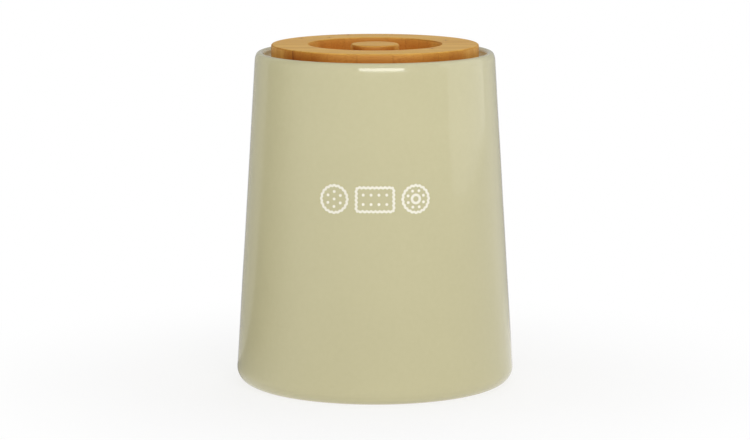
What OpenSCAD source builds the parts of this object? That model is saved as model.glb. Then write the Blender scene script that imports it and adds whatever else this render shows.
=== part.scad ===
// Storage jar: a round, tapered stoneware jar with a drop-in bamboo lid.
// The lid is a thick ring glued over a plug, with a knob standing in its finger dish
// and a finned silicone seal round the plug. The jar stands on z = 0, about the Z axis.

/* [Jar] */
// Outside diameter of the side, carried straight down to the ground
base_d = 166; // [150:1:190]
// Outside diameter of the side, carried straight up to the height of the lip
top_d = 141.6; // [134:0.2:149]
// Height of the lip above the ground
jar_h = 197.4; // [150:0.2:240]
// Thickness of the side wall, and of the lip
wall = 5.5; // [5:0.1:7]
// Thickness of the floor
floor_t = 6.5; // [5:0.5:10]
// Radius of the outside curve between side and foot
base_round = 9; // [5:0.5:14]
// Radius of the outside curve between side and lip
shoulder_round = 10; // [7:0.5:14]
// Radius of the lip's rolled edge
lip_round = 2.4; // [1.6:0.1:2.5]
// Radius of the inside curve between side and floor
floor_round = 13; // [6:0.5:20]

/* [Foot ring] */
// Width of the flat ring that the jar stands on
foot_w = 6; // [4:0.5:12]
// Height of the hollow inside the ring
foot_h = 1.6; // [1:0.1:3]

/* [Lid seat] */
// Gap between the lid's edge and the mouth
lid_gap = 4.3; // [4:0.1:6]
// How far the lid's edge reaches over the seat
seat_lap = 3.8; // [3:0.1:5]
// Height of the throat under the seat
throat_h = 9; // [7:0.5:14]
// Radius of the cove between mouth and seat
cove_round = 3.2; // [1.5:0.1:3.6]
// Radius of the edge between seat and throat
seat_round = 1.2; // [0.5:0.1:1.8]
// Radius of the throat's lower edge
throat_round = 2.5; // [1:0.5:4]
// Radius of the cove under the seat
under_round = 7; // [3:0.5:9]

/* [Lid] */
// How far the lid stands above the lip
lid_proud = 4.6; // [2:0.1:8]
// Thickness of the lid's ring, which is the depth of the finger dish
ring_t = 10; // [9:0.5:14]
// Diameter of the finger dish
dish_d = 78.4; // [66:0.2:90]
// Radius of the ring's upper edges
ring_round = 1.1; // [0.5:0.1:2]
// Thickness of the plug below the seal's groove
plug_foot = 3.2; // [2.6:0.1:6]
// Radius of the plug's lower edge
plug_round = 1.5; // [0.5:0.1:2]

/* [Knob] */
// Diameter of the knob
knob_d = 28.8; // [22:0.2:36]
// Radius of the knob's upper edge
knob_round = 1.3; // [0.5:0.1:2.5]

/* [Seal] */
// Gap between plug and throat, which the seal's fins cross
plug_gap = 3; // [2:0.1:4]
// Depth of the groove that holds the seal
groove_depth = 2.6; // [1.5:0.1:4]
// Height of the groove
groove_h = 6; // [4:0.2:6.4]
// Number of fins
fin_count = 2; // [1:1:3]
// Thickness of a fin at its root
fin_t = 1.1; // [0.8:0.1:1.2]

/* [Screw] */
// Thread diameter of the screw that holds the knob
screw_d = 4; // [3:0.1:5]
// Diameter of the screw's head
screw_head_d = 8; // [7:0.1:10]
// Length of thread in the knob
screw_grip = 6.6; // [4:0.1:7]
// Width of one arm of the cross in the head
drive_w = 1.1; // [0.8:0.1:1.4]

/* [Fits] */
// Gap between the seal's fins and the throat as drawn
fin_gap = 0.3; // [0.2:0.1:0.6]
// Gap above the seal in its groove
seal_gap = 0.3; // [0.1:0.1:0.6]
// Gap all round the screw's shank in the plug
shank_gap = 0.3; // [0.2:0.1:0.6]
// Depth of the thread cut into the knob
thread_bite = 0.5; // [0.3:0.1:0.7]
// Free depth past the screw's point in the knob
pilot_spare = 1; // [0.5:0.1:1.5]

/* [Hidden] */
$fn = 180;
arc_step = 15;
throat_slope = 45;

// Lean of the side from the vertical, and the side's outer and inner radius at a height
lean = atan((base_d - top_d) / 2 / jar_h);
function side_r(z) = base_d / 2 - z * tan(lean);
function inner_r(z) = side_r(z) - wall / cos(lean);

// Points along an arc about (x, z), from one angle to another, a step or less apart
function arc(x, z, r, from, to) =
    let (steps = ceil(abs(to - from) / arc_step))
    [for (i = [0:steps]) let (a = from + (to - from) * i / steps)
        [x + r * cos(a), z + r * sin(a)]];

// The outside curve at the foot touches the ground and the side
base_x = side_r(base_round) - base_round / cos(lean);

// The shoulder curve leaves the side and turns in until the lip's roll meets the wall's width
shoulder_turn = acos((shoulder_round / cos(lean) + lip_round - wall)
                     / (shoulder_round - lip_round));
shoulder_z = jar_h - lip_round - (shoulder_round - lip_round) * sin(shoulder_turn);
shoulder_x = side_r(shoulder_z) - shoulder_round / cos(lean);
lip_x = shoulder_x + (shoulder_round - lip_round) * cos(shoulder_turn);
lip_z = jar_h - lip_round;
mouth_r = lip_x - lip_round;

// Lid and seat, worked inwards from the mouth
lid_r = mouth_r - lid_gap;
throat_r = lid_r - seat_lap;
plug_r = throat_r - plug_gap;
groove_r = plug_r - groove_depth;
lid_top = jar_h + lid_proud;
seat_z = lid_top - ring_t;
dish_r = dish_d / 2;
knob_r = knob_d / 2;
edge_ease = 0.6;

// Underside of the seat: a slope that leaves the throat's edge and meets the inner wall in a cove
slope_x = throat_r + throat_round * (1 - cos(throat_slope));
throat_z = seat_z - throat_h + throat_round * sin(throat_slope);
slope_z = throat_z - throat_round * sin(throat_slope);
slope_run = (base_d / 2 - (slope_z - under_round * sin(throat_slope)) * tan(lean)
             - (wall + under_round) / cos(lean) - slope_x + under_round * cos(throat_slope))
            / (1 - tan(lean));
under_x = slope_x + slope_run - under_round * cos(throat_slope);
under_z = slope_z - slope_run - under_round * sin(throat_slope);

// Inside curve at the floor, and the foot ring with its hollow
floor_z = foot_h + floor_t;
floor_x = inner_r(floor_z + floor_round) - floor_round / cos(lean);
foot_step = foot_h / 2;
hollow_x = base_x - foot_w - 2 * foot_step;

// The seal's groove faces the middle of the throat, and the plug ends a little below it
groove_z = (seat_z - seat_round + throat_z - groove_h) / 2;
plug_z = groove_z - plug_foot;
fin_r = throat_r - fin_gap;
fin_pitch = (groove_h - seal_gap) / fin_count;
fin_rise = 0.9;
fin_tip = 0.5;

// Screw: its head is flush with the plug and its point ends in the knob
head_t = (screw_head_d - screw_d) / 2;
screw_r = screw_d / 2;
point_h = screw_r;
screw_top = seat_z + screw_grip;
pilot_r = screw_r - thread_bite;
drive_depth = head_t * 0.8;

// Glazed stoneware jar, cast in one piece with its lip, seat, throat and foot ring
module jar_body() {
    color([0.80, 0.78, 0.64])
    rotate_extrude()
    polygon(concat(
        [[0, foot_h]],
        arc(hollow_x, foot_step, foot_step, 90, 0),
        arc(hollow_x + 2 * foot_step, foot_step, foot_step, 180, 270),
        arc(base_x, base_round, base_round, -90, lean),
        arc(shoulder_x, shoulder_z, shoulder_round, lean, shoulder_turn),
        arc(lip_x, lip_z, lip_round, shoulder_turn, 180),
        arc(mouth_r - cove_round, seat_z + cove_round, cove_round, 0, -90),
        arc(throat_r + seat_round, seat_z - seat_round, seat_round, 90, 180),
        arc(throat_r + throat_round, throat_z, throat_round, 180, 180 + throat_slope),
        arc(under_x, under_z, under_round, 90 - throat_slope, lean),
        arc(floor_x, floor_z + floor_round, floor_round, lean, -90),
        [[0, floor_z]]
    ));
}

// Upper part of the lid: a bamboo ring whose hole is the wall of the finger dish
module lid_ring() {
    color([0.80, 0.62, 0.38])
    rotate_extrude()
    polygon(concat(
        [[dish_r, seat_z]],
        arc(lid_r - edge_ease, seat_z + edge_ease, edge_ease, -90, 0),
        arc(lid_r - ring_round, lid_top - ring_round, ring_round, 0, 90),
        arc(dish_r + ring_round, lid_top - ring_round, ring_round, 90, 180)
    ));
}

// Lower part of the lid: the plug, whose top is the floor of the dish
module lid_plug() {
    shank_r = screw_r + shank_gap;
    color([0.74, 0.56, 0.33])
    rotate_extrude()
    polygon(concat(
        [[shank_r, seat_z],
         [shank_r, plug_z + head_t - shank_gap],
         [screw_head_d / 2, plug_z]],
        arc(plug_r - plug_round, plug_z + plug_round, plug_round, -90, 0),
        [[plug_r, groove_z],
         [groove_r, groove_z],
         [groove_r, groove_z + groove_h],
         [plug_r, groove_z + groove_h],
         [plug_r, seat_z]]
    ));
}

// Silicone seal in the plug's groove, with fins that lean up as they press on the throat
module seal_ring() {
    color([0.88, 0.88, 0.85])
    rotate_extrude()
    polygon(concat(
        [[groove_r, groove_z + groove_h - seal_gap],
         [groove_r, groove_z],
         [plug_r, groove_z]],
        [for (i = [0:fin_count - 1])
            let (root = groove_z + fin_pitch * (i + 0.5) - fin_t / 2)
            each [[plug_r, root],
                  [fin_r, root + fin_rise],
                  [fin_r, root + fin_rise + fin_tip],
                  [plug_r, root + fin_t]]],
        [[plug_r, groove_z + groove_h - seal_gap]]
    ));
}

// Bamboo knob standing on the plug, level with the ring's top
module knob() {
    pilot_z = screw_top + pilot_spare;
    color([0.77, 0.60, 0.36])
    rotate_extrude()
    polygon(concat(
        [[0, pilot_z],
         [pilot_r, pilot_z],
         [pilot_r, seat_z],
         [knob_r, seat_z]],
        arc(knob_r - knob_round, lid_top - knob_round, knob_round, 0, 90),
        [[0, lid_top]]
    ));
}

// Steel screw, driven up through the plug into the knob
module knob_screw() {
    color([0.72, 0.72, 0.74])
    difference() {
        rotate_extrude()
        polygon([[0, plug_z],
                 [screw_head_d / 2, plug_z],
                 [screw_r, plug_z + head_t],
                 [screw_r, screw_top - point_h],
                 [0, screw_top]]);
        for (turn = [0, 90])
            rotate([0, 0, turn])
            translate([-screw_r, -drive_w / 2, plug_z - 1])
            cube([screw_d, drive_w, drive_depth + 1]);
    }
}

jar_body();
lid_ring();
lid_plug();
seal_ring();
knob();
knob_screw();
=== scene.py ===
"""A stoneware biscuit jar with a drop-in bamboo lid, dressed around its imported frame.

The sections follow the jar as it is put together: the glazed pot and the biscuits printed on it,
the lid's plug with its silicone seal, the ring, the knob and its screw, and last the studio.
Lengths are in metres, and colours are sRGB in 0 to 255.
"""

import math

import bmesh
import bpy
import numpy as np
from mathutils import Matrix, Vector


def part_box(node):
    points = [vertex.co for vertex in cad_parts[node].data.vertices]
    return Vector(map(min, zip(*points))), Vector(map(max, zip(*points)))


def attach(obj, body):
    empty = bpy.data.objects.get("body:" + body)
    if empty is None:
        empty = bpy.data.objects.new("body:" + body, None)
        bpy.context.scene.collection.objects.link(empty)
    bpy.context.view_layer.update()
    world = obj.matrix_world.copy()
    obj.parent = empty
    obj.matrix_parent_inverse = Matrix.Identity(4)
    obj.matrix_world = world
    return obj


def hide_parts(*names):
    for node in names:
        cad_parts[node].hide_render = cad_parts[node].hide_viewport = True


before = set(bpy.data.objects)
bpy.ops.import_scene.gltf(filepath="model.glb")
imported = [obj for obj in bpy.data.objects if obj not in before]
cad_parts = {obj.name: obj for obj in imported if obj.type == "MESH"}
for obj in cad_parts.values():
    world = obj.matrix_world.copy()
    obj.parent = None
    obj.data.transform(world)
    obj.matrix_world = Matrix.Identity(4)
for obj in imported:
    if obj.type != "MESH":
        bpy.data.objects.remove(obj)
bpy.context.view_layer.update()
MM = 0.001

# ------------------------------------------------------------------ the stoneware pot
# One slip casting of pale stoneware, with a rolled lip, a seat and throat for the lid, and a foot
# ring. Its glossy stone-green glaze thins over the edges and gathers in the corners, and it is
# painted a little darker towards the foot, a painted shade. In the mouth, where the lid sits, it is
# painted lighter and greener, a painted light against the shade of the gap, and it is rougher there.
# It is wiped off the foot ring.

LIP_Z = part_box("jar_body")[1].z
GROUND_R = 83.0 * MM
LIP_R = 70.8 * MM
WALL = 5.5 * MM
FLOOR_Z = 8.1 * MM
BASE_ROUND = 9.0 * MM
SHOULDER_ROUND = 10.0 * MM
LIP_ROUND = 2.4 * MM
FLOOR_ROUND = 13.0 * MM
FOOT_W = 6.0 * MM
FOOT_H = 1.6 * MM
COVE_ROUND = 3.2 * MM
SEAT_ROUND = 1.2 * MM
THROAT_ROUND = 2.5 * MM
THROAT_H = 9.0 * MM
UNDER_ROUND = 7.0 * MM
UNDER_SLOPE_DEG = 45
SEAT_LAP = 3.8 * MM
LEAN = math.atan((GROUND_R - LIP_R) / LIP_Z)
LEAN_DEG = math.degrees(LEAN)
SAME_POINT = 0.001 * MM
CREASE_DEG = 40

BARE_EDGE_Z = 0.9 * MM
FOOT_SHADE_FROM_Z = 160.0 * MM
GLAZE_DEEP = (189, 183, 143)
GLAZE_PALE = (197, 191, 151)
GLAZE_FOOT_SHADE = (248, 247, 245)
GLAZE_THIN = (219, 212, 184)
GLAZE_POOLED = (176, 170, 128)
GLAZE_MOUTH_PAINTED_LIGHT = (236, 234, 202)
CLAY_DEEP = (206, 196, 174)
CLAY_PALE = (224, 216, 198)
CLOUDS_PER_M = 21.0
RIPPLES_PER_M = 75.0
MOTTLE_PER_M = 340.0
GRIT_PER_M = 1900.0
GLAZE_ROUGH = 0.045
MOTTLE_ROUGH = 0.05
MOUTH_ROUGH = 0.3
CLAY_ROUGH = 0.8
WIPED_EDGE = (0.35, 0.65)
RIPPLE_HEIGHT = 0.6
GLAZE_RELIEF = 0.04 * MM
GLAZE_IOR = 1.6


def side_r(z):
    """Outer radius of the leaning side: the ground radius, less z times the lean's tangent."""
    return GROUND_R - z * math.tan(LEAN)


def inner_r(z):
    """Inner radius at height z, one wall thickness in, square to the side."""
    return side_r(z) - WALL / math.cos(LEAN)


def arc(x, z, radius, start, stop, step=6.0):
    """Round stretch of an outline: centre plus radius times cosine and sine, angles in degrees."""
    count = max(2, math.ceil(abs(stop - start) / step))
    turn = np.radians(np.linspace(start, stop, count + 1))
    return np.column_stack((x + radius * np.cos(turn), z + radius * np.sin(turn)))


def outline(spacing, *stretches):
    """Joins stretches of (r, z) points end to end and fills straights with points `spacing` apart.

    Where one stretch starts on the point that the last one ends on, that point is kept once.
    """
    corners = np.vstack([np.atleast_2d(stretch) for stretch in stretches])
    filled = [corners[:1]]
    for here, there in zip(corners[:-1], corners[1:]):
        gap = np.linalg.norm(there - here)
        if gap > SAME_POINT:
            share = np.linspace(0, 1, math.ceil(gap / spacing) + 1)[1:, None]
            filled.append(here + (there - here) * share)
    return np.vstack(filled)


def bend(line, reach):
    """Signed curvature of an outline, left turns positive.

    The turns at all points are summed under a bell curve, exp(-(distance / reach)^2), and divided
    by the area below it.
    """
    step = np.diff(line, axis=0)
    length = np.linalg.norm(step, axis=1)
    heading = np.unwrap(np.arctan2(step[:, 1], step[:, 0]))
    turned_by = np.concatenate(([0], np.diff(heading), [0]))
    along = np.concatenate(([0], np.cumsum(length)))
    near = np.exp(-(((along[:, None] - along[None, :]) / reach) ** 2))
    return near @ turned_by / (reach * math.sqrt(math.pi))


def turned(name, line, closed=False, sides=256, swell=None, **marks):
    """Surface of revolution: each (r, z) of the line goes round as (r sin a, -r cos a, z).

    A point on the axis is a single vertex, which closes the surface there. swell(a, z) is added
    to r. Each mark is a number per point of the line, kept on the mesh as an attribute.
    """
    angle = np.arange(sides) * 2 * math.pi / sides
    radius = np.repeat(line[:, :1], sides, 1)
    height = np.repeat(line[:, 1:], sides, 1)
    if swell is not None:
        radius = radius + swell(angle[None, :], height)
    rings = line[:, 0] > 0
    first = np.cumsum(np.concatenate(([0], np.where(rings, sides, 1)[:-1])))
    index = first[:, None] + np.where(rings[:, None], np.arange(sides)[None, :], 0)
    kept = rings[:, None] | (np.arange(sides) == 0)[None, :]
    points = np.stack((radius * np.sin(angle), -radius * np.cos(angle), height), -1)[kept]
    if closed:
        index = np.vstack((index, index[:1]))
    low, high = index[:-1], index[1:]
    quads = np.stack((low, np.roll(low, -1, 1), np.roll(high, -1, 1), high), -1).reshape(-1, 4)
    from_pole = quads[:, 0] == quads[:, 1]
    to_pole = quads[:, 2] == quads[:, 3]
    faces = quads[~from_pole & ~to_pole].tolist()
    faces += quads[from_pole][:, 1:].tolist() + quads[to_pole][:, :3].tolist()
    mesh = bpy.data.meshes.new(name)
    mesh.from_pydata(points.tolist(), [], faces)
    for mark, rows in marks.items():
        spread = np.repeat(np.asarray(rows, np.float32)[:, None], sides, 1)[kept]
        mesh.attributes.new(mark, "FLOAT", "POINT").data.foreach_set("value", spread)
    mesh.shade_smooth()
    mesh.set_sharp_from_angle(angle=math.radians(CREASE_DEG))
    piece = bpy.data.objects.new(name, mesh)
    bpy.context.scene.collection.objects.link(piece)
    return piece


def casting_wander(angle, z):
    """Slow unevenness of a cast and glazed side: a sum of size sin(turns a + rise z + shift).

    Each wave has its turns round the jar, its rise in radians to the metre, its shift in radians
    and its size in millimetres.
    """
    waves = ((2, 12, 0.4, 0.10), (7, 61, 2.1, 0.035), (11, -87, 4.0, 0.02), (5, 133, 1.2, 0.018))
    return sum(
        size * MM * np.sin(turns * angle + rise * z + shift) for turns, rise, shift, size in waves
    )


def add(tree, kind, feeds=(), **settings):
    """Adds a node, sets its properties, and feeds its sockets with values or with other sockets."""
    made = tree.nodes.new("ShaderNode" + kind)
    for key, value in settings.items():
        setattr(made, key, value)
    for key, value in dict(feeds).items():
        if isinstance(value, bpy.types.NodeSocket):
            tree.links.new(value, made.inputs[key])
        else:
            made.inputs[key].default_value = value
    return made


def maths(tree, operation, *values, clamp=False):
    """One Math node, fed in order."""
    return add(tree, "Math", enumerate(values), operation=operation, use_clamp=clamp).outputs[0]


def ramp(tree, value, start, stop, kind="SMOOTHSTEP"):
    """Step of a value from 0 at start to 1 at stop, smooth unless another kind is named."""
    feeds = {"Value": value, "From Min": start, "From Max": stop}
    return add(tree, "MapRange", feeds, interpolation_type=kind).outputs["Result"]


def noise(tree, place, per_metre, detail=2.0):
    """Noise from 0 to 1, of `per_metre` waves to the metre and `detail` finer layers on them."""
    feeds = {"Vector": place, "Scale": per_metre, "Detail": detail}
    return add(tree, "TexNoise", feeds).outputs["Fac"]


def marked(tree, name):
    """The number that turned() kept on the mesh under this name."""
    return add(tree, "Attribute", attribute_name=name).outputs["Fac"]


def linear(colour):
    """Linear colour with alpha for an sRGB one in 0 to 255."""
    share = np.array(colour) / 255
    light = np.where(share <= 0.04045, share / 12.92, ((share + 0.055) / 1.055) ** 2.4)
    return (*light.tolist(), 1.0)


# A Mix node has sockets of the same names for other data, so its colour ones go by number.
MIX_FIRST, MIX_SECOND, MIXED = 6, 7, 2


def blend_colour(tree, share, first, second, blend_type="MIX"):
    """First colour at share 0, second at share 1. Each is a socket or a colour in sRGB."""
    feeds = {"Factor": share}
    for key, value in ((MIX_FIRST, first), (MIX_SECOND, second)):
        feeds[key] = value if isinstance(value, bpy.types.NodeSocket) else linear(value)
    return add(tree, "Mix", feeds, data_type="RGBA", blend_type=blend_type).outputs[MIXED]


def new_material(name):
    """An empty material with its Principled BSDF, as (material, tree, shader)."""
    material = bpy.data.materials.new(name)
    material.use_nodes = True
    tree = material.node_tree
    shader = next(node for node in tree.nodes if node.type == "BSDF_PRINCIPLED")
    return material, tree, shader


def dress(tree, shader, colour, rough, relief, depth, strength):
    """Feeds a shader its colour, its roughness and a bump that is `depth` high at relief 1."""
    raised = add(tree, "Bump", {"Height": relief, "Distance": depth, "Strength": strength})
    tree.links.new(colour, shader.inputs["Base Color"])
    tree.links.new(rough, shader.inputs["Roughness"])
    tree.links.new(raised.outputs["Normal"], shader.inputs["Normal"])


def fit(piece, material, body, slot, *nodes):
    """Gives a piece its material and its body, and hides the CAD nodes that it stands for; slot is
    not used.
    """
    piece.data.materials.clear()
    piece.data.materials.append(material)
    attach(piece, body)
    if nodes:
        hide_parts(*nodes)


# The lip's round lies inside the shoulder's and touches it, with the mouth one wall in from the side.
SHOULDER_TURN = math.degrees(
    math.acos((SHOULDER_ROUND / math.cos(LEAN) + LIP_ROUND - WALL) / (SHOULDER_ROUND - LIP_ROUND))
)
SHOULDER_Z = (
    LIP_Z - LIP_ROUND - (SHOULDER_ROUND - LIP_ROUND) * math.sin(math.radians(SHOULDER_TURN))
)
SHOULDER_X = side_r(SHOULDER_Z) - SHOULDER_ROUND / math.cos(LEAN)
LIP_X = SHOULDER_X + (SHOULDER_ROUND - LIP_ROUND) * math.cos(math.radians(SHOULDER_TURN))
MOUTH_R = LIP_X - LIP_ROUND
SEAT_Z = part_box("lid_ring")[0].z
THROAT_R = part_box("lid_ring")[1].x - SEAT_LAP
BASE_X = side_r(BASE_ROUND) - BASE_ROUND / math.cos(LEAN)

# The slope under the seat leaves the throat's lower edge and meets the inner wall in a cove.
SLOPE = math.radians(UNDER_SLOPE_DEG)
SLOPE_X = THROAT_R + THROAT_ROUND * (1 - math.cos(SLOPE))
SLOPE_Z = SEAT_Z - THROAT_H
THROAT_Z = SLOPE_Z + THROAT_ROUND * math.sin(SLOPE)
SLOPE_RUN = (
    inner_r(SLOPE_Z - UNDER_ROUND * math.sin(SLOPE))
    - UNDER_ROUND / math.cos(LEAN)
    - SLOPE_X
    + UNDER_ROUND * math.cos(SLOPE)
) / (1 - math.tan(LEAN))
UNDER_X = SLOPE_X + SLOPE_RUN - UNDER_ROUND * math.cos(SLOPE)
UNDER_Z = SLOPE_Z - SLOPE_RUN - UNDER_ROUND * math.sin(SLOPE)
FLOOR_X = inner_r(FLOOR_Z + FLOOR_ROUND) - FLOOR_ROUND / math.cos(LEAN)
HOLLOW_X = BASE_X - FOOT_W - FOOT_H

# From the foot's hollow round the foot ring, up the side and over the lip, then down the mouth,
# across the seat, and by the throat and the slope under it to the floor.
pot_line = outline(
    3 * MM,
    (0, FOOT_H),
    arc(HOLLOW_X, FOOT_H / 2, FOOT_H / 2, 90, 0, step=15),
    arc(HOLLOW_X + FOOT_H, FOOT_H / 2, FOOT_H / 2, 180, 270, step=15),
    arc(BASE_X, BASE_ROUND, BASE_ROUND, -90, LEAN_DEG, step=4),
    arc(SHOULDER_X, SHOULDER_Z, SHOULDER_ROUND, LEAN_DEG, SHOULDER_TURN, step=2.5),
    arc(LIP_X, LIP_Z - LIP_ROUND, LIP_ROUND, SHOULDER_TURN, 180),
    arc(MOUTH_R - COVE_ROUND, SEAT_Z + COVE_ROUND, COVE_ROUND, 0, -90, step=7.5),
    arc(THROAT_R + SEAT_ROUND, SEAT_Z - SEAT_ROUND, SEAT_ROUND, 90, 180, step=10),
    arc(THROAT_R + THROAT_ROUND, THROAT_Z, THROAT_ROUND, 180, 180 + UNDER_SLOPE_DEG),
    arc(UNDER_X, UNDER_Z, UNDER_ROUND, 90 - UNDER_SLOPE_DEG, LEAN_DEG),
    arc(FLOOR_X, FLOOR_Z + FLOOR_ROUND, FLOOR_ROUND, LEAN_DEG, -90, step=5),
    (0, FLOOR_Z),
)

# Marks along the pot's outline. An edge as tight as the lip's counts as fully thin, and a corner as
# tight as the mouth's cove as fully pooled. The mouth's mark, where the glaze is painted lighter
# against the shade of the gap, comes in over the lip's inner side and ends at the throat. The casting
# wanders outside the lip's middle.
pot_bend = bend(pot_line, 1.5 * MM)
thin_edges = np.clip(pot_bend * LIP_ROUND, 0, 1)
filled_corners = np.clip(-pot_bend * COVE_ROUND, 0, 1)
on_foot = (pot_line[:, 1] < BARE_EDGE_Z) & (pot_line[:, 0] > HOLLOW_X + FOOT_H / 2)
in_mouth = np.clip(2 * (LIP_X - pot_line[:, 0]) / LIP_ROUND - 1, 0, 1)
in_mouth[pot_line[:, 1] < SEAT_Z - SEAT_ROUND] = 0
wandering = pot_line[:, :1] > LIP_X


def side_swell(angle, z):
    """The casting's wander, let in over the height of the side and out again at lip and foot."""
    rise = np.clip(z / (2 * BASE_ROUND), 0, 1) * np.clip((LIP_Z - z) / (3 * SHOULDER_ROUND), 0, 1)
    return casting_wander(angle, z) * rise


def stone_green_glaze():
    """Glossy clouded glaze over rough clay, which shows where the mark `bare` is 1."""
    material, tree, shader = new_material("stone_green_glaze")
    place = add(tree, "TexCoord").outputs["Object"]
    cloud = noise(tree, place, CLOUDS_PER_M)
    ripple = noise(tree, place, RIPPLES_PER_M, detail=1.0)
    mottle = noise(tree, place, MOTTLE_PER_M, detail=3.0)
    grit = noise(tree, place, GRIT_PER_M)
    bare = ramp(tree, marked(tree, "bare"), *WIPED_EDGE)
    mouth = marked(tree, "mouth")

    tone = maths(tree, "MULTIPLY_ADD", cloud, 0.5, maths(tree, "MULTIPLY", mottle, 0.5))
    height = add(tree, "SeparateXYZ", {"Vector": place}).outputs["Z"]
    # painted shade: the glaze is made a little darker from a given height down to the foot
    painted_foot_shade = ramp(tree, height, FOOT_SHADE_FROM_Z, 0.0, "LINEAR")
    colour = blend_colour(tree, tone, GLAZE_DEEP, GLAZE_PALE)
    colour = blend_colour(tree, painted_foot_shade, colour, GLAZE_FOOT_SHADE, "MULTIPLY")

    # each mark lays its own shade over the glaze, and where it is 1 by its most
    for mark, most, shade in (
        (marked(tree, "thin"), 0.10, GLAZE_THIN),
        (marked(tree, "pooled"), 0.35, GLAZE_POOLED),
        # the mouth's colour is painted light: lighter and greener, to lift the shade in the gap round
        # the lid
        (mouth, 0.70, GLAZE_MOUTH_PAINTED_LIGHT),
    ):
        colour = blend_colour(tree, maths(tree, "MULTIPLY", mark, most), colour, shade)
    colour = blend_colour(tree, bare, colour, blend_colour(tree, grit, CLAY_DEEP, CLAY_PALE))

    gloss = maths(tree, "MULTIPLY_ADD", mottle, MOTTLE_ROUGH, GLAZE_ROUGH)
    gloss = maths(tree, "MULTIPLY_ADD", mouth, MOUTH_ROUGH, gloss)
    either = {"Factor": bare, "A": gloss, "B": CLAY_ROUGH}
    rough = add(tree, "Mix", either, data_type="FLOAT").outputs["Result"]
    gritty = maths(tree, "MULTIPLY", grit, bare)
    relief = maths(tree, "MULTIPLY_ADD", ripple, RIPPLE_HEIGHT, gritty)
    dress(tree, shader, colour, rough, relief, GLAZE_RELIEF, 1.0)
    shader.inputs["IOR"].default_value = GLAZE_IOR
    return material


pot = turned(
    "stoneware_pot",
    pot_line,
    swell=lambda angle, z: side_swell(angle, z) * wandering,
    thin=thin_edges,
    pooled=filled_corners,
    bare=on_foot,
    mouth=in_mouth,
)
fit(pot, stone_green_glaze(), "jar", "glaze", "jar_body")

# ------------------------------------------------------------------ the printed biscuits
# A ceramic transfer fired onto the front: three plain biscuits drawn in off-white line, a round
# one, an oblong one and a ring, with wavy edges and pricked holes. The ink stands just proud.

ROW_Z = 119.8 * MM
INK_T = 0.10 * MM
INK_SUNK = INK_T / 4
LINE_W = 1.5 * MM
WAVE_DEPTH = 0.55 * MM
WAVE_STEPS = 16
ROUND_R = 8.7 * MM
ROUND_WAVES = 20
HOLE_R = 3.1 * MM
OBLONG_W = 23.4 * MM
OBLONG_H = 15.6 * MM
OBLONG_CORNER = 2.6 * MM
OBLONG_WAVES = 30
BISCUIT_GAP = 3.4 * MM
PRICK_R = 0.85 * MM
ROUND_PRICKS_R = 4.3 * MM
RING_PRICKS_R = 5.0 * MM
PRICK_ACROSS = 4.5 * MM
PRICK_DOWN = 5.4 * MM
CUT_W = 1.2 * MM
SLIVER = 0.005 * MM
INK_DEEP = (226, 221, 203)
INK_PALE = (240, 237, 224)


def circle(x, y, radius, points):
    """Closed loop about (x, y): centre plus radius times cosine and sine."""
    return arc(x, y, radius, 0, 360, step=360 / points)[:-1]


def wavy_line(loop, waves):
    """The two sides of a drawn line that follows a closed loop in round bumps.

    The loop is cut into even steps and pushed out along its normal by the wave depth times
    |cos(pi waves s)| - 1, where s is the share of the way round; the line's inner side lies
    one line width further in.
    """
    ends = np.vstack((loop, loop[:1]))
    along = np.concatenate(([0], np.cumsum(np.linalg.norm(np.diff(ends, axis=0), axis=1))))
    share = np.arange(waves * WAVE_STEPS) / (waves * WAVE_STEPS)
    base = np.column_stack([np.interp(share * along[-1], along, ends[:, i]) for i in (0, 1)])
    forward = np.roll(base, -1, 0) - np.roll(base, 1, 0)
    forward /= np.linalg.norm(forward, axis=1)[:, None]
    normal = np.column_stack((forward[:, 1], -forward[:, 0]))
    push = WAVE_DEPTH * (np.abs(np.cos(math.pi * waves * share)) - 1)
    return [base + normal * push[:, None], base + normal * (push - LINE_W)[:, None]]


def pricks(x, reach, count, start=0):
    """A ring of pricked holes about (x, 0), `reach` from the middle."""
    turns = np.radians(start + np.arange(count) * 360 / count)
    return [circle(x + reach * math.cos(a), reach * math.sin(a), PRICK_R, 20) for a in turns]


def round_edge(x):
    """The wavy edge of a round biscuit."""
    return wavy_line(circle(x, 0, ROUND_R, 192), ROUND_WAVES)


def round_biscuit(x):
    """A round biscuit: its wavy edge, one hole in the middle and six about it."""
    return round_edge(x) + pricks(x, 0, 1) + pricks(x, ROUND_PRICKS_R, 6, 30)


def ring_biscuit(x):
    """A ring biscuit: its wavy edge, the line round its open middle, and eight holes between."""
    middle = [circle(x, 0, HOLE_R, 64), circle(x, 0, HOLE_R - LINE_W, 48)]
    return round_edge(x) + middle + pricks(x, RING_PRICKS_R, 8, 22.5)


def oblong_biscuit(x):
    """An oblong biscuit: four rounded corners in a wavy edge, and two rows of four holes."""
    across, along = OBLONG_W / 2 - OBLONG_CORNER, OBLONG_H / 2 - OBLONG_CORNER
    corners = ((1, 1, 0), (-1, 1, 90), (-1, -1, 180), (1, -1, 270))
    edge = [
        arc(x + sx * across, sy * along, OBLONG_CORNER, start, start + 90)
        for sx, sy, start in corners
    ]
    holes = [
        circle(x + column * PRICK_ACROSS, tier * PRICK_DOWN, PRICK_R, 20)
        for column in (-1.5, -0.5, 0.5, 1.5)
        for tier in (-0.5, 0.5)
    ]
    return wavy_line(np.vstack(edge), OBLONG_WAVES) + holes


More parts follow.
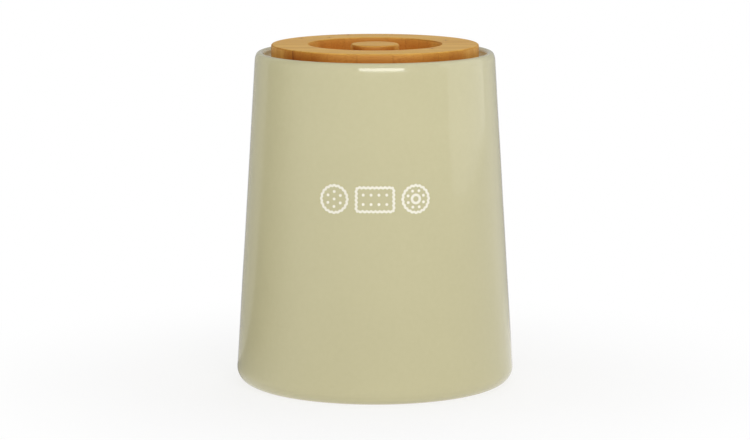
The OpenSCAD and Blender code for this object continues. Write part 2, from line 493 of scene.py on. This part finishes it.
def flat_ink(loops):
    """Loops filled as one flat curve, INK_T thick, and made a mesh: a loop in a loop is a hole.

    The curve's own UV map is dropped: it lays the loops over each other, and no material reads it.
    """
    drawn = bpy.data.curves.new("flat_row", "CURVE")
    drawn.dimensions = "2D"
    drawn.fill_mode = "BOTH"
    drawn.extrude = INK_T / 2
    for loop in loops:
        spline = drawn.splines.new("POLY")
        spline.points.add(len(loop) - 1)
        spline.points.foreach_set("co", np.column_stack((loop, loop * 0 + (0, 1))).ravel())
        spline.use_cyclic_u = True
    flat = bpy.data.objects.new("flat_row", drawn)
    bpy.context.scene.collection.objects.link(flat)
    seen = bpy.context.evaluated_depsgraph_get()
    mesh = bpy.data.meshes.new_from_object(flat.evaluated_get(seen))
    bpy.data.objects.remove(flat)
    while mesh.uv_layers:
        mesh.uv_layers.remove(mesh.uv_layers[0])
    return mesh


def cut_across(mesh, half_width):
    """Cuts a flat mesh every CUT_W along x, so that it can bend round the jar."""
    cut_up = bmesh.new()
    cut_up.from_mesh(mesh)
    bmesh.ops.remove_doubles(cut_up, verts=cut_up.verts, dist=SAME_POINT)
    for x in np.arange(-half_width + CUT_W, half_width, CUT_W):
        everything = cut_up.verts[:] + cut_up.edges[:] + cut_up.faces[:]
        bmesh.ops.bisect_plane(cut_up, geom=everything, plane_co=(x, 0, 0), plane_no=(1, 0, 0))
    bmesh.ops.dissolve_degenerate(cut_up, edges=cut_up.edges, dist=SLIVER)
    cut_up.to_mesh(mesh)
    cut_up.free()


def wrap_on_side(mesh):
    """Bends a flat mesh round the jar's front.

    x becomes the angle x / r at the row's height, y climbs the leaning side, and the thickness
    stands on the side's radius, with a quarter of the ink below the glaze.
    """
    spots = np.empty(len(mesh.vertices) * 3)
    mesh.vertices.foreach_get("co", spots)
    across, up, out = spots.reshape(-1, 3).T
    height = ROW_Z + up * math.cos(LEAN)
    angle = across / side_r(ROW_Z)
    radius = side_r(height) + side_swell(angle, height) + out + INK_T / 2 - INK_SUNK
    wrapped = np.column_stack((radius * np.sin(angle), -radius * np.cos(angle), height))
    mesh.vertices.foreach_set("co", wrapped.ravel())
    mesh.update()


SURFACE = (("Color", "Color"), ("Roughness", "Float"), ("Height", "Float"))


def new_group(name, *inputs):
    """An empty shader group that puts out a surface, as (group, input sockets, output sockets)."""
    group = bpy.data.node_groups.new(name, "ShaderNodeTree")
    for in_out, sockets in (("INPUT", inputs), ("OUTPUT", SURFACE)):
        for title, kind in sockets:
            group.interface.new_socket(title, in_out=in_out, socket_type="NodeSocket" + kind)
    given = group.nodes.new("NodeGroupInput").outputs
    result = group.nodes.new("NodeGroupOutput").inputs
    return group, given, result


def speckle_group():
    """Shader group of one fine noise n in a material's colour, roughness and relief.

    The colour goes from Deep to Pale as n rises, the roughness is Smooth + Spread n, and n itself
    is the height.
    """
    group, given, result = new_group(
        "fine_speckle",
        ("Place", "Vector"),
        ("Per Metre", "Float"),
        ("Detail", "Float"),
        ("Deep", "Color"),
        ("Pale", "Color"),
        ("Smooth", "Float"),
        ("Spread", "Float"),
    )
    speck = noise(group, given["Place"], given["Per Metre"], given["Detail"])
    rough = maths(group, "MULTIPLY_ADD", speck, given["Spread"], given["Smooth"])
    colour = blend_colour(group, speck, given["Deep"], given["Pale"])
    for socket, source in (("Color", colour), ("Roughness", rough), ("Height", speck)):
        group.links.new(source, result[socket])
    return group


fine_speckle = speckle_group()


def speckled(name, deep, pale, per_metre, detail, smooth, spread, relief, strength):
    """A finely speckled material: the shared group at its own values, as (material, shader)."""
    material, tree, shader = new_material(name)
    feeds = {
        "Place": add(tree, "TexCoord").outputs["Object"],
        "Per Metre": per_metre,
        "Detail": detail,
        "Deep": linear(deep),
        "Pale": linear(pale),
        "Smooth": smooth,
        "Spread": spread,
    }
    speckle = add(tree, "Group", feeds, node_tree=fine_speckle).outputs
    dress(tree, shader, speckle["Color"], speckle["Roughness"], speckle["Height"], relief, strength)
    return material, shader


ink, _ = speckled(
    "off_white_ink",
    INK_DEEP,
    INK_PALE,
    per_metre=900.0,
    detail=3.0,
    smooth=0.16,
    spread=0.15,
    relief=0.01 * MM,
    strength=0.5,
)
round_x = OBLONG_W / 2 + BISCUIT_GAP + ROUND_R
row = flat_ink(round_biscuit(-round_x) + oblong_biscuit(0) + ring_biscuit(round_x))
cut_across(row, round_x + ROUND_R)
wrap_on_side(row)
printed = bpy.data.objects.new("printed_biscuits", row)
bpy.context.scene.collection.objects.link(printed)
fit(printed, ink, "jar", "glaze")

# ------------------------------------------------------------------ the lid's plug
# The lower half of the lid, turned from a board of bamboo strips on edge. Its top is the floor
# of the finger dish. A groove round it holds the seal, and a countersunk hole takes the screw.

PLUG_ROUND = 1.5 * MM
EASE = 0.25 * MM
GROOVE_H = 6.0 * MM
GROOVE_DEPTH = 2.6 * MM
HEAD_R = 4.0 * MM
HEAD_T = 2.0 * MM
SHANK_HOLE_R = 2.3 * MM
plug_low, plug_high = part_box("lid_plug")
PLUG_R = plug_high.x
GROOVE_R = PLUG_R - GROOVE_DEPTH
GROOVE_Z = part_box("seal_ring")[0].z

STRIP_W = 5.6 * MM
TOP_LIGHT_DEPTH = 4.2 * MM
FIBRES_PER_M = 1500.0
STREAKS_PER_M = 260.0
FIBRES_ALONG = 26.0
GRAIN_ALONG = 22.0
STREAKS_ALONG = 9.0
WANDER_PER_M = 28.0
SWAY = 1.6
NEXT_STRIP = 7.3
FIBRE_R = 0.16
DENSE_FIBRE_R = 0.26
FIBRE_EDGE = (-0.12, 0.12)
JOINT_SPREAD = 260.0 * MM
JOINT_WAVER = 4.0 * MM
JOINT_BAND_W = (2.6 * MM, 0.5 * MM)
JOINT_LINE_W = (0.45 * MM, 0.15 * MM)
GLUE_EDGE = (0.472, 0.492)
TURNED_SIDE = (0.85, 0.35)
SLANT_CUT = (0.30, 0.65)
SQUARE_CUT = (0.81, 0.90)
LEFT_SHADE_FACING = (0.2, -0.2)
OUTWARD = (0.0, 1.0 * MM)
BAMBOO_DEEP = (214, 165, 78)
BAMBOO_PALE = (227, 182, 92)
BROAD_STREAK = (202, 146, 70)
FINE_STREAK = (184, 127, 58)
FIBRE_BUNDLE = (158, 100, 42)
JOINT_BAND = (178, 120, 56)
JOINT_LINE = (126, 78, 36)
GLUE_LINE = (150, 98, 46)
SIDE_OIL_IN_SHADE = (216, 180, 158)
SIDE_OIL_LIT = (242, 228, 224)
INNER_END_PAINTED_LIGHT = (255, 252, 240)
OUTER_END = (241, 234, 208)
END_IN_LEFT_SHADE = (222, 204, 172)
BAMBOO_ROUGH = 0.46
FIBRE_ROUGH = 0.10
END_ROUGH = 0.12
BAMBOO_SHEEN = 0.12
BAMBOO_RELIEF = 0.06 * MM


def bamboo_group():
    """Shader group of board bamboo, with its strips standing on edge along the Y of Place.

    Strip number = floor(x / strip width). A random number for each strip gives its tone, which way
    its dense outer fibres face and where its culm joint falls. The fibre bundles are cells of a
    Voronoi pattern stretched along Y, so they are streaks on the faces and dots on the ends.
    Turned sides take an oiled colour, which is partly their own and partly painted shade: lighter at
    the top and darker deeper down, by the top-light input. Ends where a face cuts the strips on the
    slant are darker end grain; towards -Y, which is the lid's left once the boards are turned, they
    are painted darker still as shade, and on faces that look inward, on the dish wall, they are
    painted lighter against the dish's shade. Strips cut square stay paler.
    """
    group, given, result = new_group(
        "board_bamboo",
        ("Place", "Vector"),
        ("Facing", "Vector"),
        ("Strip Width", "Float"),
        ("Shift", "Float"),
        ("Tone", "Float"),
        ("Painted Top Light", "Float"),
    )
    axes = add(group, "SeparateXYZ", {"Vector": given["Place"]}).outputs
    x, y, z = axes["X"], axes["Y"], axes["Z"]
    strips = maths(group, "ADD", maths(group, "DIVIDE", x, given["Strip Width"]), given["Shift"])
    number = maths(group, "FLOOR", strips)
    chance = add(group, "TexWhiteNoise", {"W": number}, noise_dimensions="1D").outputs
    second = add(group, "SeparateColor", {"Color": chance["Color"]}).outputs
    across = maths(group, "FRACT", strips)
    facing = maths(group, "GREATER_THAN", second["Green"], 0.5)
    dense = maths(group, "ABSOLUTE", maths(group, "SUBTRACT", facing, across))

    # fine grain, broad streaks and fibre bundles, all drawn out along Y, and each strip's its own
    wander = noise(group, given["Place"], WANDER_PER_M)
    own = maths(group, "MULTIPLY", number, NEXT_STRIP)
    sway = maths(group, "MULTIPLY_ADD", wander, SWAY, own)

    def drawn_out(per_metre, along):
        """Place counted in cells: `per_metre` across the strips, and `along` a metre along them."""
        fine = [maths(group, "MULTIPLY_ADD", axis, per_metre, sway) for axis in (x, z)]
        long = maths(group, "MULTIPLY", y, along)
        return add(group, "CombineXYZ", {"X": fine[0], "Y": long, "Z": fine[1]}).outputs[0]

    grain = noise(group, drawn_out(FIBRES_PER_M, GRAIN_ALONG), 1.0, detail=3.0)
    broad = noise(group, drawn_out(STREAKS_PER_M, STREAKS_ALONG), 1.0, detail=3.0)
    cells = {"Vector": drawn_out(FIBRES_PER_M, FIBRES_ALONG), "Scale": 1.0}
    from_fibre = add(group, "TexVoronoi", cells).outputs["Distance"]
    reach = maths(group, "MULTIPLY_ADD", dense, DENSE_FIBRE_R, FIBRE_R)
    bundle = ramp(group, maths(group, "SUBTRACT", reach, from_fibre), *FIBRE_EDGE)

    # culm joint: a dark hairline in a browner band, once on each strip
    joint_y = maths(group, "SUBTRACT", second["Blue"], 0.5)
    joint_y = maths(group, "MULTIPLY", joint_y, JOINT_SPREAD)
    joint_y = maths(group, "MULTIPLY_ADD", wander, JOINT_WAVER, joint_y)
    from_joint = maths(group, "ABSOLUTE", maths(group, "SUBTRACT", y, joint_y))
    joint_band = ramp(group, from_joint, *JOINT_BAND_W)
    joint_line = ramp(group, from_joint, *JOINT_LINE_W)

    # glue line at each strip's edge, the turned sides, and the ends where a face cuts the strips;
    # a side cut square takes half of the oil, and three tenths of what soaks into the ends
    from_middle = maths(group, "ABSOLUTE", maths(group, "SUBTRACT", across, 0.5))
    glue = ramp(group, from_middle, *GLUE_EDGE)
    normal = add(group, "SeparateXYZ", {"Vector": given["Facing"]}).outputs
    sides = ramp(group, maths(group, "ABSOLUTE", normal["Z"]), *TURNED_SIDE)
    slant = maths(group, "ABSOLUTE", normal["Y"])
    square_cut = ramp(group, slant, *SQUARE_CUT)
    sides = maths(group, "MULTIPLY_ADD", square_cut, -0.5, sides, clamp=True)
    ends = maths(group, "MULTIPLY_ADD", square_cut, -0.7, ramp(group, slant, *SLANT_CUT))
    # painted shade: ends that face towards -Y, the lid's left, are made darker
    left_shade = ramp(group, normal["Y"], *LEFT_SHADE_FACING)
    both = {0: given["Facing"], 1: given["Place"]}
    outward = add(group, "VectorMath", both, operation="DOT_PRODUCT").outputs["Value"]
    outward = ramp(group, outward, *OUTWARD)

    # each mask darkens the strips from its low value on, and at its high one by its most
    tone = maths(group, "ADD", chance["Value"], given["Tone"], clamp=True)
    colour = blend_colour(group, tone, BAMBOO_DEEP, BAMBOO_PALE)
    for mask, low, high, most, darker in (
        (broad, 0.42, 0.70, 0.35, BROAD_STREAK),
        (grain, 0.45, 0.70, 0.26, FINE_STREAK),
        (bundle, 0.0, 1.0, 0.22, FIBRE_BUNDLE),
        (joint_band, 0.0, 1.0, 0.35, JOINT_BAND),
        (joint_line, 0.0, 1.0, 0.50, JOINT_LINE),
        (glue, 0.0, 1.0, 0.18, GLUE_LINE),
    ):
        part = maths(group, "MULTIPLY", ramp(group, mask, low, high), most)
        colour = blend_colour(group, part, colour, darker)
    # the sides' oiled colour is partly their own and partly painted shade: lighter at the top, darker
    # deeper down
    oiled_and_shaded = blend_colour(group, given["Painted Top Light"], SIDE_OIL_IN_SHADE, SIDE_OIL_LIT)
    colour = blend_colour(group, sides, colour, oiled_and_shaded, "MULTIPLY")
    outer_and_left_shade_end = blend_colour(group, left_shade, OUTER_END, END_IN_LEFT_SHADE)
    # ends that face inward, on the dish wall, keep nearly their own colour, a painted light against
    # the dish's shade; outward ends take the end grain's oil
    end_oil_light_and_shade = blend_colour(group, outward, INNER_END_PAINTED_LIGHT, outer_and_left_shade_end)
    colour = blend_colour(group, ends, colour, end_oil_light_and_shade, "MULTIPLY")
    group.links.new(colour, result["Color"])

    rough = maths(group, "MULTIPLY_ADD", bundle, FIBRE_ROUGH, BAMBOO_ROUGH)
    rough = maths(group, "MULTIPLY_ADD", ends, END_ROUGH, rough)
    group.links.new(rough, result["Roughness"])
    relief = maths(group, "MULTIPLY_ADD", bundle, 0.4, maths(group, "MULTIPLY", grain, 0.35))
    relief = maths(group, "MULTIPLY_ADD", glue, -0.5, relief)
    relief = maths(group, "MULTIPLY_ADD", joint_line, -0.5, relief)
    group.links.new(relief, result["Height"])
    return group


board_bamboo = bamboo_group()


def bamboo(name, shift, tone, turn_deg):
    """Oiled bamboo from one board: the shared group at its own shift, tone and turn about Z.

    The piece's top-light mark is 1 at the top, where its sides are painted lighter, and 0 deep down,
    where they are painted in shade.
    """
    material, tree, shader = new_material(name)
    coordinates = add(tree, "TexCoord").outputs
    feeds = {"Strip Width": STRIP_W, "Shift": shift, "Tone": tone, "Painted Top Light": marked(tree, "rubbed")}
    for source, socket in (("Object", "Place"), ("Normal", "Facing")):
        turn = {"Vector": coordinates[source], "Rotation": (0, 0, math.radians(turn_deg))}
        feeds[socket] = add(tree, "Mapping", turn).outputs["Vector"]
    board = add(tree, "Group", feeds, node_tree=board_bamboo).outputs
    dress(tree, shader, board["Color"], board["Roughness"], board["Height"], BAMBOO_RELIEF, 0.8)
    shader.inputs["Specular IOR Level"].default_value = BAMBOO_SHEEN
    return material


def rubbed_rows(line, top, depth=TOP_LIGHT_DEPTH):
    """1 at the height `top`, falling evenly to 0 at `depth` below it: the painted shade deepens
    downwards.
    """
    return np.clip(1 - (top - line[:, 1]) / depth, 0, 1)


# A closed line comes back to its first point, so that its last side is filled with points too.
plug_line = outline(
    2.5 * MM,
    (SHANK_HOLE_R, SEAT_Z),
    (SHANK_HOLE_R, plug_low.z + HEAD_T),
    (HEAD_R, plug_low.z),
    arc(PLUG_R - PLUG_ROUND, plug_low.z + PLUG_ROUND, PLUG_ROUND, -90, 0, step=10),
    arc(PLUG_R - EASE, GROOVE_Z - EASE, EASE, 0, 90, step=30),
    (GROOVE_R, GROOVE_Z),
    (GROOVE_R, GROOVE_Z + GROOVE_H),
    arc(PLUG_R - EASE, GROOVE_Z + GROOVE_H + EASE, EASE, -90, 0, step=30),
    (PLUG_R, SEAT_Z),
    (SHANK_HOLE_R, SEAT_Z),
)[:-1]
plug_rubbed = rubbed_rows(plug_line, SEAT_Z)
plug = turned("bamboo_plug", plug_line, closed=True, sides=192, rubbed=plug_rubbed)
plug_bamboo = bamboo("oiled_bamboo_plug", shift=3.37, tone=-0.12, turn_deg=92)
fit(plug, plug_bamboo, "lid", "bamboo_plug", "lid_plug")

# ------------------------------------------------------------------ the silicone seal
# A moulded ring of clear white silicone, stretched into the plug's groove. Its two fins lean up
# where they wipe the throat, and hold the lid by their grip.

FIN_ROOT_T = 1.1 * MM
FIN_TIP_T = 0.5 * MM
FIN_RISE = 0.9 * MM
FIN_COUNT = 2
TIP_ROUND = FIN_TIP_T / 2
SEAL_EASE = 0.25 * MM
SILICONE_DEEP = (222, 222, 214)
SILICONE_PALE = (236, 236, 230)
MILKINESS = 0.35
LIGHT_REACH = 1.5 * MM
REACH_BY_COLOUR = (1.0, 0.9, 0.8)
seal_low, seal_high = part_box("seal_ring")
FIN_PITCH = (seal_high.z - seal_low.z) / FIN_COUNT


def fin(number):
    """Outline of one fin: out along its underside, round its tip, and back along its top."""
    root = seal_low.z + FIN_PITCH * (number + 0.5) - FIN_ROOT_T / 2
    tip = arc(seal_high.x - TIP_ROUND, root + FIN_RISE + TIP_ROUND, TIP_ROUND, -70, 110, step=30)
    return np.vstack(((PLUG_R, root), tip, (PLUG_R, root + FIN_ROOT_T)))


silicone, shader = speckled(
    "white_silicone",
    SILICONE_DEEP,
    SILICONE_PALE,
    per_metre=160.0,
    detail=4.0,
    smooth=0.38,
    spread=0.2,
    relief=0.02 * MM,
    strength=0.4,
)
shader.inputs["Subsurface Weight"].default_value = MILKINESS
shader.inputs["Subsurface Radius"].default_value = REACH_BY_COLOUR
shader.inputs["Subsurface Scale"].default_value = LIGHT_REACH

seal_line = outline(
    1.5 * MM,
    (GROOVE_R, seal_high.z),
    (GROOVE_R, seal_low.z),
    arc(PLUG_R - SEAL_EASE, seal_low.z + SEAL_EASE, SEAL_EASE, -90, 0, step=30),
    *[fin(number) for number in range(FIN_COUNT)],
    arc(PLUG_R - SEAL_EASE, seal_high.z - SEAL_EASE, SEAL_EASE, 0, 90, step=30),
    (GROOVE_R, seal_high.z),
)[:-1]
seal = turned("silicone_seal", seal_line, closed=True, sides=192)
fit(seal, silicone, "lid", "silicone", "seal_ring")

# ------------------------------------------------------------------ the lid's ring
# The upper half of the lid: a ring of the same board, glued on the plug with its strips running
# side to side. Its hole is the straight wall of the finger dish, and its edges are sanded round.

DISH_R = 39.2 * MM
RING_ROUND = 1.1 * MM
RING_EASE = 0.6 * MM
DISH_WALL_TOP_LIGHT = 0.7
ring_low, ring_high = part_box("lid_ring")
RING_R = ring_high.x
ring_line = outline(
    2.0 * MM,
    (DISH_R, ring_low.z),
    arc(RING_R - RING_EASE, ring_low.z + RING_EASE, RING_EASE, -90, 0, step=15),
    arc(RING_R - RING_ROUND, ring_high.z - RING_ROUND, RING_ROUND, 0, 90, step=9),
    arc(DISH_R + RING_ROUND, ring_high.z - RING_ROUND, RING_ROUND, 90, 180, step=9),
    (DISH_R, ring_low.z),
)[:-1]
ring_rubbed = rubbed_rows(ring_line, ring_high.z)
# the dish wall is painted in deeper shade than the ring's outside
ring_rubbed[ring_line[:, 0] < DISH_R + RING_ROUND / 2] *= DISH_WALL_TOP_LIGHT
ring = turned("bamboo_ring", ring_line, closed=True, rubbed=ring_rubbed)
ring_bamboo = bamboo("oiled_bamboo_ring", shift=0.21, tone=0.0, turn_deg=90)
fit(ring, ring_bamboo, "lid", "bamboo_ring", "lid_ring")

# ------------------------------------------------------------------ the knob
# A plain round knob of bamboo in the middle of the dish, level with the ring's top, with its
# upper edge rounded and a blind hole under it for the screw.

KNOB_ROUND = 1.3 * MM
PILOT_R = 1.5 * MM
PILOT_SPARE = 1.0 * MM
knob_low, knob_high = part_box("knob")
PILOT_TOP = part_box("knob_screw")[1].z + PILOT_SPARE
knob_line = outline(
    1.5 * MM,
    (0, PILOT_TOP),
    (PILOT_R, PILOT_TOP),
    (PILOT_R, knob_low.z),
    arc(knob_high.x - EASE, knob_low.z + EASE, EASE, -90, 0, step=30),
    arc(knob_high.x - KNOB_ROUND, knob_high.z - KNOB_ROUND, KNOB_ROUND, 0, 90, step=9),
    (0, knob_high.z),
)
knob_rubbed = rubbed_rows(knob_line, knob_high.z, depth=2 * KNOB_ROUND)
knob = turned("bamboo_knob", knob_line, sides=144, rubbed=knob_rubbed)
knob_bamboo = bamboo("oiled_bamboo_knob", shift=5.6, tone=-0.45, turn_deg=96)
fit(knob, knob_bamboo, "lid", "bamboo_knob", "knob")

# ------------------------------------------------------------------ the screw
# The countersunk screw that holds the knob, turned from plain steel and driven up from under the
# plug. Its solid is shown as it is.

STEEL_DEEP = (172, 172, 176)
STEEL_PALE = (206, 206, 208)
steel, shader = speckled(
    "turned_steel",
    STEEL_DEEP,
    STEEL_PALE,
    per_metre=2600.0,
    detail=4.0,
    smooth=0.2,
    spread=0.25,
    relief=0.01 * MM,
    strength=0.5,
)
shader.inputs["Metallic"].default_value = 1.0
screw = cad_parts["knob_screw"]
screw.data.materials.clear()
screw.data.materials.append(steel)

# ------------------------------------------------------------------ the studio
# A white floor that keeps the jar's soft shadow close in and glows a little under it, as a light
# table does, and a white room round it.

PAPER_R = 9.0
PAPER_DROP = -0.05 * MM
PAPER_ROUGH = 0.9
PAPER_WHITE = (0.93, 0.93, 0.93, 1.0)
WHITE = (1.0, 1.0, 1.0, 1.0)
SHADOW_R = (0.10, 0.30)
SHADOW_GLOW = 0.75
UNDERLIGHT = 0.6
UNDERLIGHT_R = (0.15, 0.09)
FLAG_FRONT_EDGE = (-60, -112)
FLAG_BACK_EDGE = (-123, -119)
FLAG_COVER = (0.5, 0.8)
BACKDROP_EDGE = (125, 160)
ROOM_LIGHT = 0.54


def seen_directly(tree):
    """1 for camera, glossy and see-through rays, which meet the white of the studio; else 0."""
    rays = add(tree, "LightPath").outputs
    kinds = maths(tree, "ADD", rays["Is Camera Ray"], rays["Is Glossy Ray"])
    return maths(tree, "ADD", kinds, rays["Is Transmission Ray"], clamp=True)


def behind_flag(tree, way):
    """How much the dark screens at the left take away from reflections in a direction.

    They thicken from the front edge on, and thin out again past the back edge, into a grey
    backdrop that reaches round to the right. Compass angles are from the front, in degrees,
    with the right side positive.
    """
    flat_way = add(tree, "SeparateXYZ", {"Vector": way}).outputs
    compass = maths(tree, "ARCTAN2", flat_way["X"], maths(tree, "MULTIPLY", flat_way["Y"], -1.0))
    compass = maths(tree, "MULTIPLY", compass, 180 / math.pi)
    thin, thick = FLAG_COVER
    cover = ramp(tree, compass, *FLAG_BACK_EDGE)
    cover = maths(tree, "MULTIPLY_ADD", cover, thick - thin, thin)
    cover = maths(tree, "MULTIPLY", cover, ramp(tree, compass, *FLAG_FRONT_EDGE))
    cover = maths(tree, "MULTIPLY_ADD", ramp(tree, compass, *BACKDROP_EDGE), thin, cover)
    return maths(tree, "MULTIPLY", cover, add(tree, "LightPath").outputs["Is Glossy Ray"])


def floor_paper():
    """White paper that hides in the white room, except where the jar's shadow falls.

    To rays that see it directly it is all glow far from the jar, and SHADOW_GLOW of it close in,
    where the rest is lit paper. Under the jar it glows by UNDERLIGHT for every ray.
    """
    material, tree, shader = new_material("floor_paper")
    shader.inputs["Base Color"].default_value = PAPER_WHITE
    shader.inputs["Roughness"].default_value = PAPER_ROUGH
    place = add(tree, "TexCoord").outputs["Object"]
    from_jar = add(tree, "VectorMath", {0: place}, operation="LENGTH").outputs["Value"]
    glow = ramp(tree, from_jar, *SHADOW_R)
    glow = maths(tree, "MULTIPLY_ADD", glow, 1 - SHADOW_GLOW, SHADOW_GLOW)
    share = maths(tree, "MULTIPLY", seen_directly(tree), glow)
    lit_below = maths(tree, "MULTIPLY", ramp(tree, from_jar, *UNDERLIGHT_R), UNDERLIGHT)
    share = maths(tree, "MAXIMUM", share, lit_below)
    strength = maths(tree, "SUBTRACT", 1.0, behind_flag(tree, place))
    white = add(tree, "Emission", {"Color": WHITE, "Strength": strength}).outputs[0]
    mixed = add(tree, "MixShader", {0: share, 1: shader.outputs[0], 2: white}).outputs[0]
    output = next(node for node in tree.nodes if node.type == "OUTPUT_MATERIAL")
    tree.links.new(mixed, output.inputs["Surface"])
    return material


def white_room():
    """A world that is white to look at, and a plain, even light on the jar."""
    world = bpy.data.worlds.new("white_room")
    world.use_nodes = True
    tree = world.node_tree
    covered = behind_flag(tree, add(tree, "TexCoord").outputs["Generated"])
    level = maths(tree, "MULTIPLY_ADD", seen_directly(tree), 1 - ROOM_LIGHT, ROOM_LIGHT)
    background = next(node for node in tree.nodes if node.type == "BACKGROUND")
    background.inputs["Color"].default_value = WHITE
    tree.links.new(maths(tree, "SUBTRACT", level, covered), background.inputs["Strength"])
    return world


paper_line = np.array([(reach, PAPER_DROP) for reach in (PAPER_R, *SHADOW_R[::-1], 0)])
floor = turned("studio_floor", paper_line, sides=96)
floor.data.materials.append(floor_paper())
bpy.context.scene.world = white_room()


def softbox(name, compass, up, away, size, glow, in_gloss=True, in_diffuse=True):
    """A rectangular softbox that faces the top of the jar's side.

    It stands at a compass angle from the front and an angle up, both in degrees, `away` metres
    off. Its power is its glow times pi times its area, so a glow of 1 is as bright as white.
    """
    lamp = bpy.data.lights.new(name, "AREA")
    lamp.shape = "RECTANGLE"
    lamp.size, lamp.size_y = size
    lamp.energy = glow * math.pi * size[0] * size[1]
    box = bpy.data.objects.new(name, lamp)
    turn, rise = math.radians(compass), math.radians(up)
    toward = (math.sin(turn) * math.cos(rise), -math.cos(turn) * math.cos(rise), math.sin(rise))
    box.location = Vector((0, 0, LIP_Z)) + away * Vector(toward)
    box.rotation_euler = Vector(toward).to_track_quat("Z", "Y").to_euler()
    box.visible_glossy = in_gloss
    box.visible_diffuse = in_diffuse
    bpy.context.scene.collection.objects.link(box)


# Each softbox: compass angle, angle up, metres away, width and height, glow.
softbox("key_above_camera", 6.4, 19.5, 2.0, (1.5, 0.64), 5.6)
softbox("card_under_key", 9.5, 6.5, 2.1, (1.6, 0.3), 2.2, in_diffuse=False)
softbox("side_right", 97, 17, 1.5, (1.5, 1.25), 0.55)
softbox("fill_right", 65, 5, 1.8, (0.9, 0.9), 0.2, in_gloss=False)
softbox("side_left", -95, 20, 1.8, (1.2, 1.2), 0.9, in_gloss=False)
softbox("fill_behind", 165, 25, 2.2, (1.8, 1.2), 1.9, in_gloss=False)

# The camera stands where the photo was taken from: two metres off, a little above the lid.
FRAME_PX = 750
FOCAL_PX = 3359.5
SENSOR = 36.0
AWAY = 2.0
DOWN = math.radians(8.68)
AIM_Z = 96.6 * MM
lens = bpy.data.cameras.new("photo_camera")
lens.sensor_width = SENSOR
lens.lens = FOCAL_PX * SENSOR / FRAME_PX
camera = bpy.data.objects.new("photo_camera", lens)
camera.location = (0, -AWAY * math.cos(DOWN), AIM_Z + AWAY * math.sin(DOWN))
camera.rotation_euler = (math.pi / 2 - DOWN, 0, 0)
bpy.context.scene.collection.objects.link(camera)
bpy.context.scene.camera = camera
bpy.context.scene.view_settings.view_transform = "Standard"
